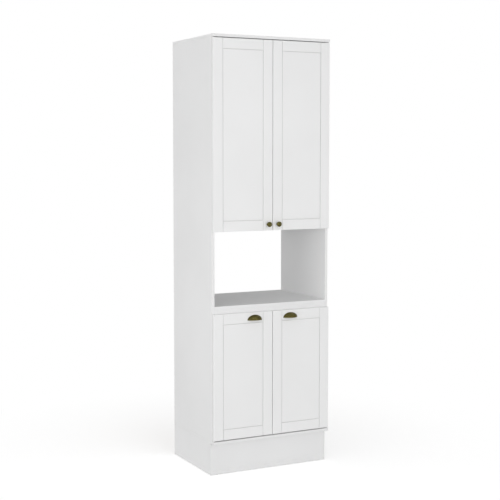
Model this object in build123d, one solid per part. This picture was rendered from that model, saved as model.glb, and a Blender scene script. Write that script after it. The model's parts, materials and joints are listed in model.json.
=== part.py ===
from build123d import *
import math
import os

# A free-standing tall cabinet for an oven: two long doors above an open niche, two short doors
# below it, and a recessed plinth. All sizes are in millimetres. X runs to the right, Y to the back
# and Z up. The origin is on the floor, under the middle of the whole cabinet.

# Carcase
cabinet_width = 700.0
cabinet_height = 2317.0
carcase_depth = 504.0
board_t = 15.0
board_arris = 0.8
back_t = 3.0
back_inset = 12.0
groove_depth = 6.0
groove_play = 0.2
panel_play = 0.5

# Heights
plinth_height = 172.5
niche_floor_z = 902.5
niche_height = 397.5

# Plinth and its glides
plinth_setback = 22.0
glide_t = 2.0
glide_r = 7.0
glide_nail_r = 1.2
glide_nail_length = 12.0
glide_inset = 40.0

# Rails between the sides
front_rail_height = 60.0
wall_rail_height = 80.0
wall_hole_r = 4.0
wall_hole_spacing = 500.0

# Loose shelves and their supports
upper_shelf_count = 2
shelf_front_inset = 20.0
shelf_side_play = 1.0
shelf_back_play = 2.0
pin_r = 2.5
pin_length = 8.0
pin_end_play = 2.0
pin_drop = 6.0
pin_inset = 60.0
pin_row_pitch = 32.0
pin_rows_each_way = 2
pin_plate_t = 1.5
pin_plate_width = 10.0
pin_tongue = 9.0

# Doors
door_t = 15.0
door_gap = 2.0
door_seam = 3.0
door_top_gap = 4.0
door_bottom_gap = 5.0
door_reveal = 1.5
lower_door_drop = 40.0
upper_door_overhang = 5.0
stile_w = 55.0
rail_w = 55.0
arris = 1.0
hinge_edge_ease = 2.5
joint_reveal = 1.2
panel_reveal = 1.5
panel_recess = 1.5
tongue_from_front = 4.5
tongue_t = 6.0
tongue = 8.0

# Knobs of the upper doors
knob_r = 14.0
knob_reach = 26.0
knob_base_r = 8.0
knob_base_t = 1.5
knob_flare = 1.5
knob_head_lip = 1.0
knob_neck_r = 4.5
knob_head_t = 6.5
knob_button_r = 8.5
knob_button_rise = 2.5
knob_up = 33.0

# Cup pulls of the lower doors
pull_width = 86.0
pull_radius = 29.0
pull_sink = 5.0
pull_wall = 2.0
pull_boss_r = 4.0
pull_boss_up = 9.0
pull_screw_spacing = 64.0
pull_from_seam = 108.0
pull_down = 41.5

# Handle screws
handle_screw_r = 2.0
handle_screw_play = 0.2
handle_head_r = 4.0
handle_head_t = 2.4
handle_thread_length = 8.0

# Concealed hinges
upper_door_hinges = 3
lower_door_hinges = 2
hinge_end_distance = 100.0
cup_r = 17.5
cup_edge = 3.0
cup_skin = 2.5
cup_wall = 0.6
cup_play = 0.1
wing_t = 1.0
wing_half_height = 31.0
wing_beyond = 15.0
wing_past_pin = 2.2
peg_r = 4.0
peg_length = 9.0
peg_offset = 9.5
peg_half_spacing = 22.5
hinge_pin_r = 1.2
hinge_pin_play = 0.05
eye_r = 2.0
eye_floor_play = 0.3
pin_inside_rim = 4.3
arm_t = 1.8
arm_width = 10.0
arm_play = 0.45
lug_t = 2.2
lug_play = 0.3
lug_length = 4.0
channel_width = 16.0
channel_start = 12.0
channel_end = 62.0
channel_lip = 3.0
plate_screw_from_front = 37.0
plate_screw_spacing = 32.0
plate_t = 1.6
plate_half_height = 24.0
plate_half_length = 9.0
plate_screw_r = 2.5
plate_screw_depth = 11.0
plate_head_r = 4.2
plate_head_t = 1.8
arm_screw_from_end = 12.0
arm_screw_r = 1.8
arm_head_r = 3.6
arm_head_t = 1.6
cross_share = 0.6
cross_w = 0.9

# Knock-down fittings
cam_r = 7.4
cam_skin = 2.8
cam_inset = 24.0
cam_play = 0.1
cam_slot_w = 1.6
cam_slot_depth = 2.0
cam_mouth_play = 0.4
bolt_thread_r = 2.5
bolt_thread_length = 10.5
bolt_shank_r = 2.8
bolt_head_r = 3.4
bolt_head_t = 3.0
bolt_hole_play = 0.6
dowel_r = 4.0
dowel_length = 30.0
dowel_in_face = 10.5
dowel_hole_extra = 1.0
cam_from_edge = 60.0
dowel_from_cam = 32.0
rail_dowel_offset = 18.0
wall_dowel_offset = 26.0
plinth_dowel_offset = 40.0

# Screws that hold the base board on the plinth
plinth_screw_r = 2.0
plinth_screw_length = 45.0
plinth_screw_head_r = 4.0
plinth_screw_head_t = 2.5
plinth_screw_play = 0.05
plinth_screw_inset = 70.0
plinth_screw_from_dowel = 40.0

# Door bumpers
bumper_r = 4.0
bumper_play = 0.3
bumper_from_middle = 25.0

# How far past a face a cutting tool reaches
past = 1.0

# Planes worked out from the sizes above
pull_reach = pull_radius - pull_sink
handle_reach = max(knob_reach, pull_reach)
front = (door_gap + door_t + handle_reach - carcase_depth) / 2
back = front + carcase_depth
door_back = front - door_gap
door_front = door_back - door_t
left = -cabinet_width / 2
left_in = left + board_t
left_mid = left + board_t / 2

base_top = plinth_height + board_t
top_under = cabinet_height - board_t
niche_floor_under = niche_floor_z - board_t
niche_top_under = niche_floor_z + niche_height
niche_top_over = niche_top_under + board_t

back_rear = back - back_inset
back_front = back_rear - back_t
shelf_front = front + shelf_front_inset
shelf_back = back_front - shelf_back_play
plinth_face = front + plinth_setback
plinth_inner = plinth_face + board_t
wall_rail_z = top_under - wall_rail_height / 2
front_rail_under = niche_floor_under - front_rail_height

door_left = left + door_reveal
door_right = -door_seam / 2
tongue_front = door_front + tongue_from_front
tongue_back = tongue_front + tongue_t
tongue_groove = tongue + panel_play
pin_hole_depth = pin_length + pin_end_play
cam_depth = board_t - cam_skin

upper_door_low = niche_top_under - upper_door_overhang
upper_door_high = top_under - door_top_gap
lower_door_low = base_top + door_bottom_gap
lower_door_high = niche_floor_z - lower_door_drop

# Places of the hinge axis and its arm, from the edge of the door
cup_depth = door_t - cup_skin
cup_x = door_left + cup_edge + cup_r
hinge_x = cup_x - cup_r + pin_inside_rim
hinge_from_edge = hinge_x - door_left
hinge_from_back = cup_depth - cup_wall - eye_r - eye_floor_play
hinge_y = door_back - hinge_from_back
swing_r = hinge_edge_ease + math.hypot(
    hinge_from_edge - hinge_edge_ease, hinge_from_back - hinge_edge_ease
)
arm_x = hinge_x + swing_r + arm_play
arm_half = arm_width / 2
lug_inner = arm_half + lug_play
lug_outer = lug_inner + lug_t
plate_screw_y = front + plate_screw_from_front
channel_y0 = front + channel_start
channel_y1 = front + channel_end
arm_screw_y = channel_y1 - arm_screw_from_end


def block(x0, x1, y0, y1, z0, z1):
    """A rectangular piece between two corners."""
    middle = Pos((x0 + x1) / 2, (y0 + y1) / 2, (z0 + z1) / 2)
    return middle * Box(x1 - x0, y1 - y0, z1 - z0)


def rod(radius, start, direction, length):
    """A round piece that starts at a point and runs along a direction."""
    seat = Plane(origin=start, z_dir=direction)
    upward = (Align.CENTER, Align.CENTER, Align.MIN)
    return seat.location * Cylinder(radius, length, align=upward)


def mirrored(piece):
    """The right-hand twin of a left-hand piece."""
    return mirror(piece, about=Plane.YZ)


def both(pieces):
    """Left-hand pieces followed by their right-hand twins."""
    return pieces + [mirrored(piece) for piece in pieces]


def eased(board, along):
    """A board whose front edges along one axis have lost their sharp corners."""
    face = board.faces().sort_by(Axis.Y)[0]
    return chamfer(face.edges().filter_by(along), board_arris)


# Holes in each board and the small fittings, gathered on the left half

holes = {}
fittings = {}


def drill(board, *tools):
    """Note the tools that cut one board."""
    holes.setdefault(board, []).extend(tools)


def fit(name, *pieces):
    """Note pieces of one fitting."""
    fittings.setdefault(name, []).extend(pieces)


def upward_cylinder(radius, z0, z1):
    """A cylinder on the local axis, between two local heights."""
    return Pos(0, 0, (z0 + z1) / 2) * Cylinder(radius, z1 - z0)


def cam_joint(origin, into, face, cam_board, bolt_board):
    """A cam lock and its bolt. The joint plane is at origin, and into points into the cam's board."""
    seat = Plane(origin=origin, x_dir=face, z_dir=into).location
    half = board_t / 2
    turn = Pos(half - cam_depth / 2, 0, cam_inset) * Rot(0, 90, 0)
    pocket = turn * Cylinder(cam_r + cam_play, cam_depth)
    cam = turn * Cylinder(cam_r, cam_depth - cam_play)
    slot_place = Pos(half - cam_slot_depth / 2, 0, cam_inset)
    slots = [
        slot_place * Box(cam_slot_depth, cam_r, cam_slot_w),
        slot_place * Box(cam_slot_depth, cam_slot_w, cam_r),
    ]
    mouth_r = bolt_head_r + cam_mouth_play
    mouth = upward_cylinder(mouth_r, cam_inset - cam_r - past, cam_inset)
    cam = cam - slots - mouth
    head_top = cam_inset - cam_play
    head_low = head_top - bolt_head_t
    bolt = upward_cylinder(bolt_thread_r, -bolt_thread_length, 0)
    bolt = bolt + upward_cylinder(bolt_shank_r, 0, head_low)
    bolt = bolt + upward_cylinder(bolt_head_r, head_low, head_top)
    thread_hole = upward_cylinder(bolt_thread_r, -bolt_thread_length - cam_play, past)
    edge_hole = upward_cylinder(bolt_head_r + bolt_hole_play, -past, cam_inset)
    fit("cam_locks", seat * cam)
    fit("cam_bolts", seat * bolt)
    drill(cam_board, seat * pocket, seat * edge_hole)
    drill(bolt_board, seat * thread_hole)


def dowel_joint(origin, into, edge_board, face_board):
    """A wooden dowel, mostly in the board whose edge meets the joint plane."""
    seat = Plane(origin=origin, z_dir=into).location
    in_edge = dowel_length - dowel_in_face
    fit("wood_dowels", seat * upward_cylinder(dowel_r, -dowel_in_face, in_edge))
    drill(edge_board, seat * upward_cylinder(dowel_r, -past, in_edge + dowel_hole_extra))
    drill(face_board, seat * upward_cylinder(dowel_r, -dowel_in_face, past))


def join_carcase():
    """Cams, bolts and dowels between the boards of the carcase."""
    cam_places = (front + cam_from_edge, back - cam_from_edge)
    dowel_places = (cam_places[0] + dowel_from_cam, cam_places[1] - dowel_from_cam)
    for y in cam_places:
        cam_joint((left_mid, y, top_under), (0, 0, -1), (1, 0, 0), "side", "top_board")
        cam_joint((left_mid, y, base_top), (0, 0, 1), (1, 0, 0), "side", "base_board")
        above = (left_in, y, niche_top_under + board_t / 2)
        cam_joint(above, (1, 0, 0), (0, 0, 1), "niche_top_board", "side")
        below = (left_in, y, niche_floor_under + board_t / 2)
        cam_joint(below, (1, 0, 0), (0, 0, -1), "niche_floor_board", "side")
    for y in dowel_places:
        dowel_joint((left_mid, y, top_under), (0, 0, -1), "side", "top_board")
        dowel_joint((left_mid, y, base_top), (0, 0, 1), "side", "base_board")
        above = (left_in, y, niche_top_under + board_t / 2)
        dowel_joint(above, (1, 0, 0), "niche_top_board", "side")
        below = (left_in, y, niche_floor_under + board_t / 2)
        dowel_joint(below, (1, 0, 0), "niche_floor_board", "side")


def join_rails():
    """Fittings at the ends of the front rail and the wall rail."""
    wall_rail_y = back_front - board_t / 2
    middle = (left_in, wall_rail_y, wall_rail_z)
    cam_joint(middle, (1, 0, 0), (0, -1, 0), "wall_rail", "side")
    front_rail_z = niche_floor_under - front_rail_height / 2
    for way in (-1, 1):
        place = (left_in, wall_rail_y, wall_rail_z + way * wall_dowel_offset)
        dowel_joint(place, (1, 0, 0), "wall_rail", "side")
        place = (left_in, front + board_t / 2, front_rail_z + way * rail_dowel_offset)
        dowel_joint(place, (1, 0, 0), "front_rail", "side")


def join_plinth():
    """Dowels at the corners of the plinth, and its screws and glides."""
    for way in (-1, 1):
        z = (glide_t + plinth_height) / 2 + way * plinth_dowel_offset
        dowel_joint((left_mid, plinth_inner, z), (0, 1, 0), "plinth_side", "plinth_front")
        dowel_joint((left_in, back - board_t / 2, z), (1, 0, 0), "plinth_back", "plinth_side")
    inner_x = left_in + plinth_screw_inset
    side_inset = cam_from_edge + dowel_from_cam + plinth_screw_from_dowel
    places = [
        ("plinth_front", inner_x, plinth_face + board_t / 2),
        ("plinth_back", inner_x, back - board_t / 2),
        ("plinth_side", left_mid, front + side_inset),
        ("plinth_side", left_mid, back - side_inset),
    ]
    for board, x, y in places:
        plinth_screw(board, x, y)
    front_glide = (left + glide_inset, plinth_face + board_t / 2)
    rear_glide = (left_mid, back - glide_inset)
    for board, (x, y) in (("plinth_front", front_glide), ("plinth_side", rear_glide)):
        floor_glide(board, x, y)


def plinth_screw(board, x, y):
    """A countersunk screw through the base board into the top edge of a plinth board."""
    head_low = base_top - plinth_screw_head_t
    cone_place = Pos(x, y, (base_top + head_low) / 2)
    head = cone_place * Cone(plinth_screw_r, plinth_screw_head_r, plinth_screw_head_t)
    tip = base_top - plinth_screw_length
    shank = rod(plinth_screw_r, (x, y, tip), (0, 0, 1), head_low - tip)
    fit("plinth_screws", head + shank)
    play = plinth_screw_play
    head_hole = cone_place * Cone(
        plinth_screw_r + play, plinth_screw_head_r + play, plinth_screw_head_t
    )
    length = head_low - tip + play
    shank_hole = rod(plinth_screw_r + play, (x, y, tip - play), (0, 0, 1), length)
    drill("base_board", head_hole, shank_hole)
    drill(board, shank_hole)


def floor_glide(board, x, y):
    """A nail-on glide under a plinth board."""
    foot = rod(glide_r, (x, y, 0), (0, 0, 1), glide_t)
    nail = rod(glide_nail_r, (x, y, 0), (0, 0, 1), glide_t + glide_nail_length)
    fit("floor_glides", foot + nail)
    drill(board, rod(glide_nail_r, (x, y, 0), (0, 0, 1), glide_t + glide_nail_length))


# Shelves and their supports


def shelf_heights(low, high, count):
    """Undersides of evenly spaced shelves in a compartment."""
    pitch = (high - low - count * board_t) / (count + 1)
    return [low + (i + 1) * pitch + i * board_t for i in range(count)]


upper_shelf_zs = shelf_heights(niche_top_over, top_under, upper_shelf_count)
lower_shelf_z = shelf_heights(base_top, niche_floor_under, 1)[0]


def support_shelf(z):
    """Pins under one shelf, and the rows of holes that let it move up or down."""
    depths = (shelf_front + pin_inset, shelf_back - pin_inset)
    for y in depths:
        for row in range(-pin_rows_each_way, pin_rows_each_way + 1):
            start = (left_in - pin_hole_depth, y, z - pin_drop + row * pin_row_pitch)
            drill("side", rod(pin_r, start, (1, 0, 0), pin_hole_depth + past))
        fit("shelf_pins", shelf_pin(y, z))


def shelf_pin(y, z):
    """A push-in pin with a bent plate that the shelf lies on."""
    half = pin_plate_width / 2
    peg = rod(pin_r, (left_in - pin_length, y, z - pin_drop), (1, 0, 0), pin_length)
    upright_low = z - pin_drop - half
    upright = block(left_in, left_in + pin_plate_t, y - half, y + half, upright_low, z)
    ledge = block(left_in, left_in + pin_tongue, y - half, y + half, z - pin_plate_t, z)
    return peg + upright + ledge


def shelf(z):
    """A loose shelf."""
    x = left_in + shelf_side_play
    return eased(block(x, -x, shelf_front, shelf_back, z, z + board_t), Axis.X)


# Concealed hinges: the half on the cabinet and the half on the door


def hinge_heights(low, high, count):
    """Heights of the hinges of a door, evenly spread between the end ones."""
    first = low + hinge_end_distance
    last = high - hinge_end_distance
    return [first + (last - first) * i / (count - 1) for i in range(count)]


upper_hinge_zs = hinge_heights(upper_door_low, upper_door_high, upper_door_hinges)
lower_hinge_zs = hinge_heights(lower_door_low, lower_door_high, lower_door_hinges)


def hinge_plate(z):
    """The plate on the side panel, with the raised rib that carries the arm."""
    y = plate_screw_y
    base = block(
        left_in,
        left_in + plate_t,
        y - plate_half_length,
        y + plate_half_length,
        z - plate_half_height,
        z + plate_half_height,
    )
    rib_half = channel_width / 2 - arm_t
    rib = block(left_in, arm_x, channel_y0, channel_y1, z - rib_half, z + rib_half)
    plate = base + rib
    for way in (-1, 1):
        place = (left_in, y, z + way * plate_screw_spacing / 2)
        plate = plate - rod(plate_screw_r, place, (1, 0, 0), plate_t)
    return plate - rod(arm_screw_r, (left_in, arm_screw_y, z), (1, 0, 0), arm_x - left_in)


def place_plate_screws(z):
    """Two screws that hold a plate on the side panel."""
    for way in (-1, 1):
        y = plate_screw_y
        screw_z = z + way * plate_screw_spacing / 2
        start = (left_in - plate_screw_depth, y, screw_z)
        shank = rod(plate_screw_r, start, (1, 0, 0), plate_screw_depth + plate_t)
        head_start = (left_in + plate_t, y, screw_z)
        head = rod(plate_head_r, head_start, (1, 0, 0), plate_head_t)
        screw = with_cross(shank + head, head_start, plate_head_r, plate_head_t)
        fit("hinge_plate_screws", screw)
        drill("side", rod(plate_screw_r, start, (1, 0, 0), plate_screw_depth + past))


def with_cross(screw, head_start, head_r, head_t):
    """A screw with a cross recess cut half way into its head."""
    x, y, z = head_start
    cross = Pos(x + head_t, y, z)
    wide = 2 * head_r * cross_share
    return screw - [cross * Box(head_t, wide, cross_w), cross * Box(head_t, cross_w, wide)]


def hinge_arm(z):
    """The arm: an eye round the hinge pin, a hook out of the cup and a channel on the plate."""
    low = hinge_y - eye_r
    eye = rod(eye_r, (hinge_x, hinge_y, z - arm_half), (0, 0, 1), arm_width)
    hook = block(hinge_x, arm_x + arm_t, low, low + arm_t, z - arm_half, z + arm_half)
    leg = block(arm_x, arm_x + arm_t, low, channel_y0 + past, z - arm_half, z + arm_half)
    wide = channel_width / 2
    strip = block(arm_x, arm_x + arm_t, channel_y0, channel_y1, z - wide, z + wide)
    arm = eye + hook + leg + strip
    for way in (-1, 1):
        z0, z1 = sorted((z + way * wide, z + way * (wide - arm_t)))
        arm = arm + block(arm_x - channel_lip, arm_x, channel_y0, channel_y1, z0, z1)
    bore = hinge_pin_r + hinge_pin_play
    arm = arm - rod(bore, (hinge_x, hinge_y, z - arm_half), (0, 0, 1), arm_width)
    return arm - rod(arm_screw_r, (arm_x, arm_screw_y, z), (1, 0, 0), arm_t)


def hinge_arm_screw(z):
    """The screw that locks an arm on its plate."""
    head_start = (arm_x + arm_t, arm_screw_y, z)
    shank = rod(arm_screw_r, (left_in, arm_screw_y, z), (1, 0, 0), head_start[0] - left_in)
    head = rod(arm_head_r, head_start, (1, 0, 0), arm_head_t)
    return with_cross(shank + head, head_start, arm_head_r, arm_head_t)


def hinge_cup(z):
    """The pressed cup in the door, its two wings with pegs, and the lugs that hold the pin."""
    outward = (0, -1, 0)
    mouth_r = cup_r - cup_wall
    body = rod(cup_r, (cup_x, door_back, z), outward, cup_depth)
    hollow_start = (cup_x, door_back + wing_t + past, z)
    hollow_length = cup_depth - cup_wall + wing_t + past
    hollow = rod(mouth_r, hollow_start, outward, hollow_length)
    wings = block(
        hinge_x + wing_past_pin,
        cup_x + wing_beyond,
        door_back,
        door_back + wing_t,
        z - wing_half_height,
        z + wing_half_height,
    )
    cup = body + wings
    for way in (-1, 1):
        place = (cup_x + peg_offset, door_back, z + way * peg_half_spacing)
        cup = cup + rod(peg_r, place, outward, peg_length)
    cup = cup - hollow
    floor_y = door_back - cup_depth
    for way in (-1, 1):
        z0, z1 = sorted((z + way * lug_inner, z + way * lug_outer))
        lug = block(hinge_x - eye_r, hinge_x + lug_length, floor_y, hinge_y + eye_r, z0, z1)
        cup = cup + (lug & body)
    pin_hole = rod(hinge_pin_r, (hinge_x, hinge_y, z - lug_outer), (0, 0, 1), 2 * lug_outer)
    return cup - pin_hole


def hinge_pin(z):
    """The pin that the arm's eye turns on."""
    return rod(hinge_pin_r, (hinge_x, hinge_y, z - lug_outer), (0, 0, 1), 2 * lug_outer)


# Doors


def frame_member(x0, x1, z0, z1):
    """A stile or rail with its front edges eased."""
    member = block(x0, x1, door_front, door_back, z0, z1)
    face = member.faces().sort_by(Axis.Y)[0]
    return chamfer(face.edges(), arris)


def panel_groove(x0, x1, z0, z1):
    """The groove that holds the panel and the tenons. They bear on its rear wall."""
    return block(x0, x1, tongue_front - groove_play, tongue_back, z0, z1)


def hinge_stile(low, high):
    """The stile on the hinge side. Its rear edge is rounded, to swing past the side panel."""
    inner = door_left + stile_w
    stile = frame_member(door_left, inner, low, high)
    rear_edges = stile.edges().filter_by(Axis.Z).sort_by(Axis.Y)[-2:]
    swing_edge = rear_edges.sort_by(Axis.X)[0]
    stile = fillet(swing_edge, hinge_edge_ease)
    return stile - panel_groove(inner - tongue_groove, inner + past, low - past, high + past)


def meeting_stile(low, high):
    """The stile at the middle of the cabinet."""
    inner = door_right - stile_w
    stile = frame_member(inner, door_right, low, high)
    return stile - panel_groove(inner - past, inner + tongue_groove, low - past, high + past)


def door_rail(z0, z1, groove_on_top):
    """A rail with tenons, a groove towards the panel and a narrow shadow gap at each stile."""
    x0 = door_left + stile_w
    x1 = door_right - stile_w
    rail = frame_member(x0 + joint_reveal, x1 - joint_reveal, z0, z1)
    rail = rail + block(x0, x1, tongue_front, door_back, z0, z1)
    if groove_on_top:
        tenon_low, tenon_high = z0, z1 - tongue_groove
        rail = rail - panel_groove(x0 - past, x1 + past, tenon_high, z1 + past)
    else:
        tenon_low, tenon_high = z0 + tongue_groove, z1
        rail = rail - panel_groove(x0 - past, x1 + past, z0 - past, tenon_low)
    for end0, end1 in ((x0 - tongue, x0 + past), (x1 - past, x1 + tongue)):
        rail = rail + block(end0, end1, tongue_front, tongue_back, tenon_low, tenon_high)
    return rail


def door_panel(low, high):
    """The panel: a tongue that floats in the grooves, and a field with a shadow gap all round."""
    x0 = door_left + stile_w
    x1 = door_right - stile_w
    z0 = low + rail_w
    z1 = high - rail_w
    field = block(
        x0 + panel_reveal,
        x1 - panel_reveal,
        door_front + panel_recess,
        tongue_back,
        z0 + panel_reveal,
        z1 - panel_reveal,
    )
    face = field.faces().sort_by(Axis.Y)[0]
    field = chamfer(face.edges(), arris)
    return field + block(
        x0 - tongue, x1 + tongue, tongue_front, tongue_back, z0 - tongue, z1 + tongue
    )


def cup_holes(z):
    """The holes for one hinge cup and its pegs, from the back of the door."""
    start_y = door_back + past
    depth = cup_depth + panel_play + past
    tools = [rod(cup_r + cup_play, (cup_x, start_y, z), (0, -1, 0), depth)]
    for way in (-1, 1):
        place = (cup_x + peg_offset, start_y, z + way * peg_half_spacing)
        tools.append(rod(peg_r, place, (0, -1, 0), peg_length + panel_play + past))
    return tools


def handle_hole(x, z):
    """A screw hole through a door, with a seat for the head at the back."""
    through_r = handle_screw_r + handle_screw_play
    through = rod(through_r, (x, door_back + past, z), (0, -1, 0), door_t + 2 * past)
    seat_r = handle_head_r + handle_screw_play
    seat = rod(seat_r, (x, door_back + past, z), (0, -1, 0), handle_head_t + past)
    return through + seat


def handle_screw(x, z):
    """A screw from the back of a door into its handle."""
    head = rod(handle_head_r, (x, door_back, z), (0, -1, 0), handle_head_t)
    length = door_t + handle_thread_length
    shank = rod(handle_screw_r, (x, door_back, z), (0, -1, 0), length)
    return head + shank


# Handles

knob_x = door_right - stile_w / 2
knob_z = upper_door_low + knob_up
pull_x = -pull_from_seam
pull_z = lower_door_high - pull_down


def crown_height(edge_r, edge_z, top_z, r):
    """Height at radius r on an arc that crosses the axis square, at top_z, and ends at the edge."""
    rise = top_z - edge_z
    arc_r = (edge_r**2 + rise**2) / (2 * rise)
    return top_z - arc_r + math.sqrt(arc_r**2 - r**2)


def knob(x, z):
    """A turned knob: base, neck, flat head and a raised round button on the head."""
    head_back = knob_reach - knob_button_rise - knob_head_t
    head_front = knob_reach - knob_button_rise
    half_head = knob_head_t / 2
    diagonal = math.sqrt(0.5)
    crown_low = head_front + knob_button_rise / 2
    crown_mid = crown_height(knob_button_r, crown_low, knob_reach, knob_button_r / 2)
    with BuildPart() as turned:
        with BuildSketch(Plane.XZ):
            with BuildLine():
                base = Polyline(
                    (0, 0),
                    (knob_base_r, 0),
                    (knob_base_r, knob_base_t),
                    (knob_neck_r, knob_base_t + knob_flare),
                    (knob_neck_r, head_back - half_head),
                    (knob_r - knob_head_lip, head_back + half_head / 2),
                    (knob_r, head_back + half_head),
                )
                rim = ThreePointArc(
                    base @ 1,
                    (knob_r - half_head * (1 - diagonal), head_front - half_head * (1 - diagonal)),
                    (knob_r - half_head, head_front),
                )
                step = Polyline(rim @ 1, (knob_button_r, head_front), (knob_button_r, crown_low))
                dome = ThreePointArc(step @ 1, (knob_button_r / 2, crown_mid), (0, knob_reach))
                Line(dome @ 1, (0, 0))
            make_face()
        revolve(axis=Axis.Z)
    piece = Pos(x, door_front, z) * Rot(90, 0, 0) * turned.part
    hole = rod(handle_screw_r, (x, door_front, z), (0, -1, 0), handle_thread_length)
    return piece - hole


def spheroid(x, y, z, half_length, radius):
    """A spheroid about an axis along X, as a solid."""
    with BuildPart() as turned:
        with BuildSketch():
            with BuildLine():
                EllipticalCenterArc((0, 0), half_length, radius, start_angle=0, arc_size=180)
                Line((half_length, 0), (-half_length, 0))
            make_face()
        revolve(axis=Axis.X)
    return Pos(x, y, z) * turned.part


def cup_pull(x, z):
    """A cast cup pull: a quarter of a spheroid, hollow, open below for the fingers."""
    half = pull_width / 2 / math.sqrt(1 - (pull_sink / pull_radius) ** 2)
    axis_y = door_front + pull_sink
    outer = spheroid(x, axis_y, z, half, pull_radius)
    room = block(x - half, x + half, door_front - pull_radius, door_front, z, z + pull_radius)
    outer = outer & room
    inner = spheroid(x, axis_y, z, half - pull_wall, pull_radius - pull_wall)
    shell = outer - inner
    for way in (-1, 1):
        place = (x + way * pull_screw_spacing / 2, door_front, z + pull_boss_up)
        boss = rod(pull_boss_r, place, (0, -1, 0), pull_radius)
        shell = shell + (boss & outer)
        shell = shell - rod(handle_screw_r, place, (0, -1, 0), handle_thread_length)
    return shell


def pull_screw_places():
    """Places of the two screws of the left cup pull."""
    z = pull_z + pull_boss_up
    return [(pull_x + way * pull_screw_spacing / 2, z) for way in (-1, 1)]


def door_pieces(level):
    """All pieces of the left-hand door of one level, by name."""
    if level == "upper":
        low, high, hinge_zs = upper_door_low, upper_door_high, upper_hinge_zs
        screw_places = [(knob_x, knob_z)]
        handle = {
            "knob": knob(knob_x, knob_z),
            "knob_screw": handle_screw(knob_x, knob_z),
        }
    else:
        low, high, hinge_zs = lower_door_low, lower_door_high, lower_hinge_zs
        screw_places = pull_screw_places()
        handle = {
            "cup_pull": cup_pull(pull_x, pull_z),
            "cup_pull_screws": [handle_screw(x, z) for x, z in screw_places],
        }
    tools = [tool for z in hinge_zs for tool in cup_holes(z)]
    tools = tools + [handle_hole(x, z) for x, z in screw_places]
    pieces = {
        "hinge_stile": hinge_stile(low, high) - tools,
        "meeting_stile": meeting_stile(low, high) - tools,
        "rails": [
            door_rail(low, low + rail_w, True) - tools,
            door_rail(high - rail_w, high, False) - tools,
        ],
        "panel": door_panel(low, high) - tools,
        "hinge_cups": [hinge_cup(z) for z in hinge_zs],
        "hinge_pins": [hinge_pin(z) for z in hinge_zs],
    }
    pieces.update(handle)
    return pieces


# Carcase boards


def side_panel():
    """The left side panel, with its back grooves and every hole the fittings need."""
    board = eased(block(left, left_in, front, back, base_top, top_under), Axis.Z)
    y0 = back_front
    y1 = back_rear + groove_play
    depth_x = left_in - groove_depth
    grooves = [
        block(depth_x, left_in + past, y0, y1, base_top - past, niche_floor_under + groove_depth),
        block(depth_x, left_in + past, y0, y1, niche_top_over - groove_depth, top_under + past),
    ]
    return board - grooves - holes["side"]


def cross_board(name, x0, y0, y1, z0, z1, *grooves):
    """A board that spans the cabinet, drilled alike at both ends."""
    board = eased(block(x0, -x0, y0, y1, z0, z1), Axis.X)
    if x0 == left:
        ends = board.faces().filter_by(Axis.X)
        board = chamfer(ends.edges().filter_by(Axis.Y), board_arris)
    return board - both(holes[name]) - list(grooves)


def back_groove(z0, z1):
    """The groove for a back panel across a board."""
    x = left_in - groove_depth
    return block(x, -x, back_front, back_rear + groove_play, z0, z1)


def back_panel(low, high):
    """A thin back panel, held in grooves on all four sides."""
    x = left_in - groove_depth + panel_play
    z0 = low - groove_depth + panel_play
    z1 = high + groove_depth - panel_play
    return block(x, -x, back_front, back_rear, z0, z1)


def wall_holes():
    """The two wall fixing holes, through the wall rail and the back panel."""
    start_y = back_front - board_t - past
    length = board_t + back_t + 2 * past
    x = wall_hole_spacing / 2
    return both([rod(wall_hole_r, (-x, start_y, wall_rail_z), (0, 1, 0), length)])


def bumper(z):
    """A small pad on a front edge of the carcase, just clear of the closed door."""
    start = (-bumper_from_middle, front, z)
    return rod(bumper_r, start, (0, -1, 0), door_gap - bumper_play)


def carcase_pieces():
    """The boards of the carcase, by name."""
    side = side_panel()
    plinth_side = block(left, left_in, plinth_inner, back, glide_t, plinth_height)
    plinth_side = plinth_side - holes["plinth_side"]
    rail_y0 = back_front - board_t
    wall_rail = cross_board(
        "wall_rail", left_in, rail_y0, back_front, top_under - wall_rail_height, top_under
    )
    boards = {
        "side_left": side,
        "side_right": mirrored(side),
        "top_board": cross_board(
            "top_board", left, door_front, back, top_under, cabinet_height,
            back_groove(top_under - past, top_under + groove_depth),
        ),
        "base_board": cross_board(
            "base_board", left, door_front, back, plinth_height, base_top,
            back_groove(base_top - groove_depth, base_top + past),
        ),
        "niche_top_board": cross_board(
            "niche_top_board", left_in, front, back, niche_top_under, niche_top_over,
            back_groove(niche_top_over - groove_depth, niche_top_over + past),
        ),
        "niche_floor_board": cross_board(
            "niche_floor_board", left_in, front, back, niche_floor_under, niche_floor_z,
            back_groove(niche_floor_under - past, niche_floor_under + groove_depth),
        ),
        "front_rail": cross_board(
            "front_rail", left_in, front, front + board_t, front_rail_under, niche_floor_under
        ),
        "wall_rail": wall_rail - wall_holes(),
        "plinth_front": cross_board(
            "plinth_front", left, plinth_face, plinth_inner, glide_t, plinth_height
        ),
        "plinth_side_left": plinth_side,
        "plinth_side_right": mirrored(plinth_side),
        "plinth_back": cross_board(
            "plinth_back", left_in, back - board_t, back, glide_t, plinth_height
        ),
        "upper_back_panel": back_panel(niche_top_over, top_under) - wall_holes(),
        "lower_back_panel": back_panel(base_top, niche_floor_under),
        "lower_shelf": shelf(lower_shelf_z),
    }
    for number, z in enumerate(upper_shelf_zs, 1):
        boards[f"upper_shelf_{number}"] = shelf(z)
    return boards


def write(name, pieces):
    """Write one node, a single piece or a group of alike pieces."""
    shape = Compound(pieces) if isinstance(pieces, list) else pieces
    export_step(shape, f"parts/{name}.step")


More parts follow.
